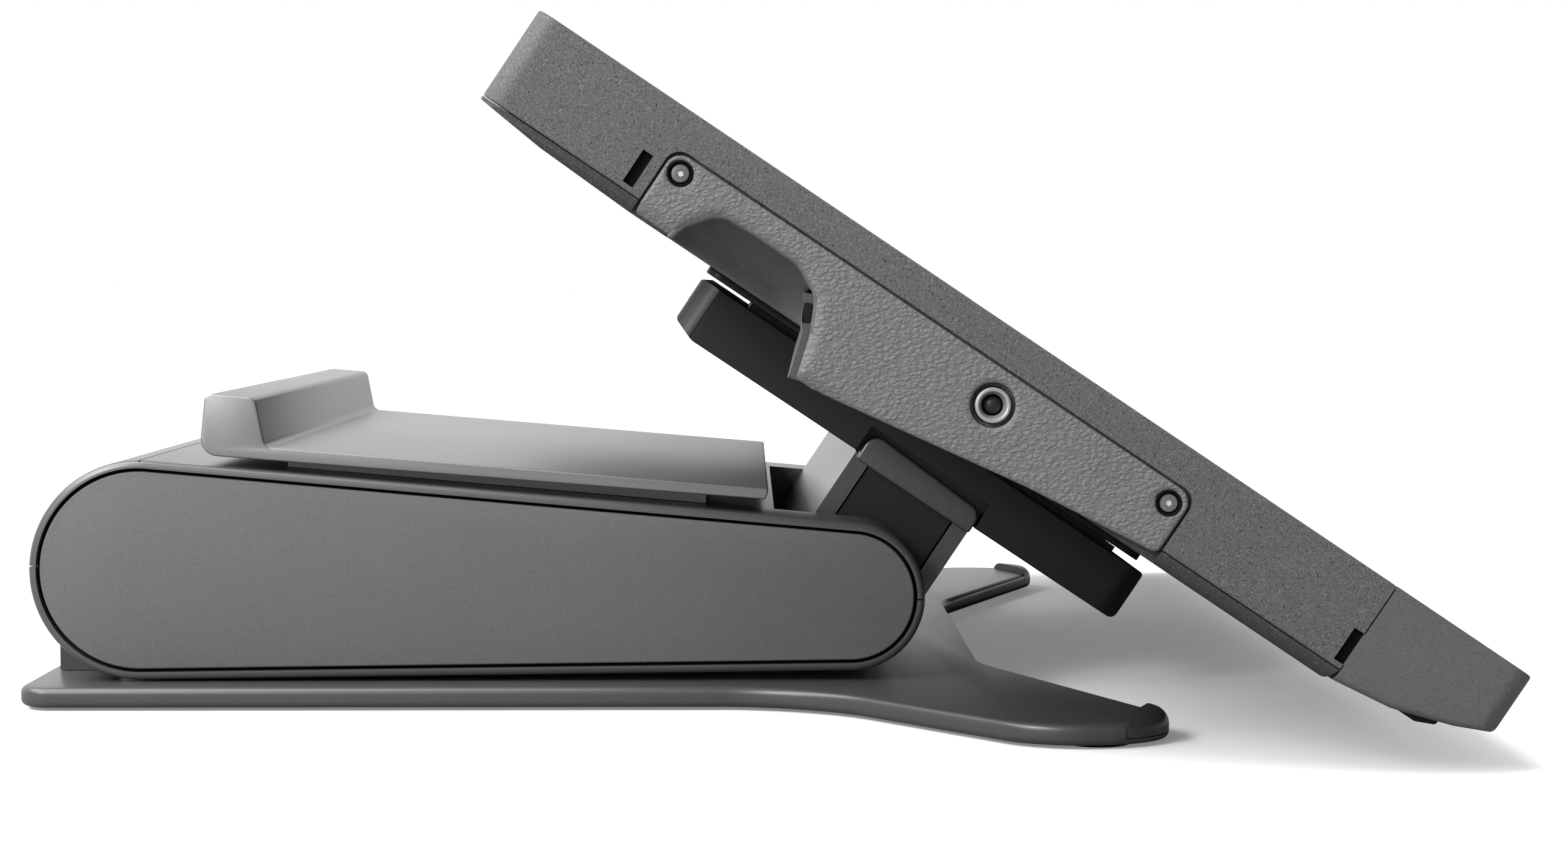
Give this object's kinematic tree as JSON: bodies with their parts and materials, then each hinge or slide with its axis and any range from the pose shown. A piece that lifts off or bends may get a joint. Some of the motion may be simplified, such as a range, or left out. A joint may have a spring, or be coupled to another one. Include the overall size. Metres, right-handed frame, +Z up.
{
  "type": "pen drawing tablet",
  "caption": "Large pen display for drawing on a heavy lifting stand, with a tilting knuckle, leather-grained side grips, keyboard shelf, shortcut keys and release levers.",
  "frame": {"origin": "centre of the object's box, on the surface that its rubber pads stand on", "axes": "+X to the user's right, -Y towards the user, +Z up"},
  "size_m": [0.7696, 0.6348, 0.2967],
  "materials": {
    "stand_paint": "satin dark grey paint",
    "arm_paint": "satin dark grey paint on a casting",
    "cover_paint": "satin grey paint on sheet",
    "knuckle_plastic": "satin dark grey",
    "cast_alloy": "black painted casting",
    "mount_alloy": "black painted plate",
    "cast_metal": "dark grey painted casting",
    "machined_steel": "machined",
    "spring_steel": "oiled spring wire",
    "tray_metal": "satin grey",
    "rubber": "matt black",
    "black_plastic": "fine matt",
    "housing_black": "matt black moulding",
    "case_plastic": "speckled fine grain",
    "cap_plastic": "fine grain",
    "screen_glass": "etched anti-glare",
    "panel_metal": "folded sheet",
    "circuit_board": "solder-masked board",
    "grip_leather": "leather-grained soft skin",
    "socket_metal": "turned ring",
    "key_plastic": "satin"
  },
  "bodies": {
    "base": {"base_plate": "stand_paint", "foot_pad_front_left": "rubber", "foot_pad_front_right": "rubber", "foot_pad_rear_left": "rubber", "foot_pad_rear_right": "rubber", "leg_cap_left": "black_plastic", "leg_cap_right": "black_plastic", "pedestal_left": "cast_metal", "pedestal_right": "cast_metal", "rear_pivot_shaft": "machined_steel"},
    "arm": {"arm_upper_shell": "arm_paint", "arm_lower_shell": "arm_paint", "arm_side_cover_left": "cover_paint", "arm_side_cover_right": "cover_paint", "arm_spine": "cast_metal", "counterbalance_spring_left": "spring_steel", "counterbalance_spring_right": "spring_steel", "keyboard_tray": "tray_metal"},
    "level_rods": {"level_rod_left": "machined_steel", "level_rod_right": "machined_steel"},
    "level_hub": {"front_pivot_shaft": "machined_steel"},
    "display": {"knuckle_frame": "cast_alloy", "knuckle_rear_cover": "knuckle_plastic", "knuckle_front_cover": "knuckle_plastic", "knuckle_cap_left": "knuckle_plastic", "knuckle_cap_right": "knuckle_plastic", "mount_housing": "housing_black", "mount_plate": "mount_alloy", "top_case": "case_plastic", "rear_cover": "case_plastic", "front_cap": "cap_plastic", "front_glass": "screen_glass", "lcd_panel": "panel_metal", "main_board": "circuit_board", "grip_left": "grip_leather", "grip_right": "grip_leather", "pen_socket_left": "socket_metal", "pen_socket_right": "socket_metal", "bumper_left": "rubber", "bumper_right": "rubber", "touch_ring_left": "key_plastic", "touch_ring_right": "key_plastic"},
    "release_lever_left": {"release_lever_left": "black_plastic"},
    "release_lever_right": {"release_lever_right": "black_plastic"},
    "key_1_left": {"key_1_left": "key_plastic"},
    "key_1_right": {"key_1_right": "key_plastic"},
    "key_2_left": {"key_2_left": "key_plastic"},
    "key_2_right": {"key_2_right": "key_plastic"},
    "key_3_left": {"key_3_left": "key_plastic"},
    "key_3_right": {"key_3_right": "key_plastic"},
    "key_4_left": {"key_4_left": "key_plastic"},
    "key_4_right": {"key_4_right": "key_plastic"},
    "key_5_left": {"key_5_left": "key_plastic"},
    "key_5_right": {"key_5_right": "key_plastic"},
    "toggle_1_left": {"toggle_1_left": "key_plastic"},
    "toggle_1_right": {"toggle_1_right": "key_plastic"},
    "toggle_2_left": {"toggle_2_left": "key_plastic"},
    "toggle_2_right": {"toggle_2_right": "key_plastic"},
    "toggle_3_left": {"toggle_3_left": "key_plastic"},
    "toggle_3_right": {"toggle_3_right": "key_plastic"}
  },
  "joints": [
    {"name": "arm_lift", "type": "hinge", "parent": "base", "child": "arm", "pos_m": [0, 0.26541, 0.0616], "axis": [-1, 0, 0], "range_deg": [0, 60]},
    {"name": "level_rod_swing", "type": "hinge", "parent": "base", "child": "level_rods", "pos_m": [0, 0.27386, 0.07749], "axis": [-1, 0, 0], "range_deg": [0, 60]},
    {"name": "level_hub_turn", "type": "hinge", "parent": "arm", "child": "level_hub", "pos_m": [0, -0.05889, 0.0492], "axis": [-1, 0, 0], "range_deg": [-60, 0]},
    {"name": "display_tilt", "type": "hinge", "parent": "level_hub", "child": "display", "pos_m": [0, -0.05889, 0.0492], "axis": [1, 0, 0], "range_deg": [-25, 18]},
    {"name": "release_lever_left_pull", "type": "hinge", "parent": "display", "child": "release_lever_left", "pos_m": [-0.36, -0.03732, 0.18642], "axis": [-1, 0, 0], "range_deg": [0, 10], "stiffness_Nm_per_rad": 0.6},
    {"name": "release_lever_right_pull", "type": "hinge", "parent": "display", "child": "release_lever_right", "pos_m": [0.36, -0.03732, 0.18642], "axis": [-1, 0, 0], "range_deg": [0, 10], "stiffness_Nm_per_rad": 0.6},
    {"name": "key_1_left_press", "type": "slide", "parent": "display", "child": "key_1_left", "axis": [0, 0.5563, -0.831], "range_m": [0, 0.0008], "stiffness_N_per_m": 600},
    {"name": "key_1_right_press", "type": "slide", "parent": "display", "child": "key_1_right", "axis": [0, 0.5563, -0.831], "range_m": [0, 0.0008], "stiffness_N_per_m": 600},
    {"name": "key_2_left_press", "type": "slide", "parent": "display", "child": "key_2_left", "axis": [0, 0.5563, -0.831], "range_m": [0, 0.0008], "stiffness_N_per_m": 600},
    {"name": "key_2_right_press", "type": "slide", "parent": "display", "child": "key_2_right", "axis": [0, 0.5563, -0.831], "range_m": [0, 0.0008], "stiffness_N_per_m": 600},
    {"name": "key_3_left_press", "type": "slide", "parent": "display", "child": "key_3_left", "axis": [0, 0.5563, -0.831], "range_m": [0, 0.0008], "stiffness_N_per_m": 600},
    {"name": "key_3_right_press", "type": "slide", "parent": "display", "child": "key_3_right", "axis": [0, 0.5563, -0.831], "range_m": [0, 0.0008], "stiffness_N_per_m": 600},
    {"name": "key_4_left_press", "type": "slide", "parent": "display", "child": "key_4_left", "axis": [0, 0.5563, -0.831], "range_m": [0, 0.0008], "stiffness_N_per_m": 600},
    {"name": "key_4_right_press", "type": "slide", "parent": "display", "child": "key_4_right", "axis": [0, 0.5563, -0.831], "range_m": [0, 0.0008], "stiffness_N_per_m": 600},
    {"name": "key_5_left_press", "type": "slide", "parent": "display", "child": "key_5_left", "axis": [0, 0.5563, -0.831], "range_m": [0, 0.0008], "stiffness_N_per_m": 600},
    {"name": "key_5_right_press", "type": "slide", "parent": "display", "child": "key_5_right", "axis": [0, 0.5563, -0.831], "range_m": [0, 0.0008], "stiffness_N_per_m": 600},
    {"name": "toggle_1_left_press", "type": "slide", "parent": "display", "child": "toggle_1_left", "axis": [0, 0.5563, -0.831], "range_m": [0, 0.0008], "stiffness_N_per_m": 600},
    {"name": "toggle_1_right_press", "type": "slide", "parent": "display", "child": "toggle_1_right", "axis": [0, 0.5563, -0.831], "range_m": [0, 0.0008], "stiffness_N_per_m": 600},
    {"name": "toggle_2_left_press", "type": "slide", "parent": "display", "child": "toggle_2_left", "axis": [0, 0.5563, -0.831], "range_m": [0, 0.0008], "stiffness_N_per_m": 600},
    {"name": "toggle_2_right_press", "type": "slide", "parent": "display", "child": "toggle_2_right", "axis": [0, 0.5563, -0.831], "range_m": [0, 0.0008], "stiffness_N_per_m": 600},
    {"name": "toggle_3_left_press", "type": "slide", "parent": "display", "child": "toggle_3_left", "axis": [0, 0.5563, -0.831], "range_m": [0, 0.0008], "stiffness_N_per_m": 600},
    {"name": "toggle_3_right_press", "type": "slide", "parent": "display", "child": "toggle_3_right", "axis": [0, 0.5563, -0.831], "range_m": [0, 0.0008], "stiffness_N_per_m": 600}
  ],
  "couplings": [
    {"joint": "level_rod_swing", "follows": "arm_lift", "ratio": 1},
    {"joint": "level_hub_turn", "follows": "arm_lift", "ratio": -1}
  ]
}
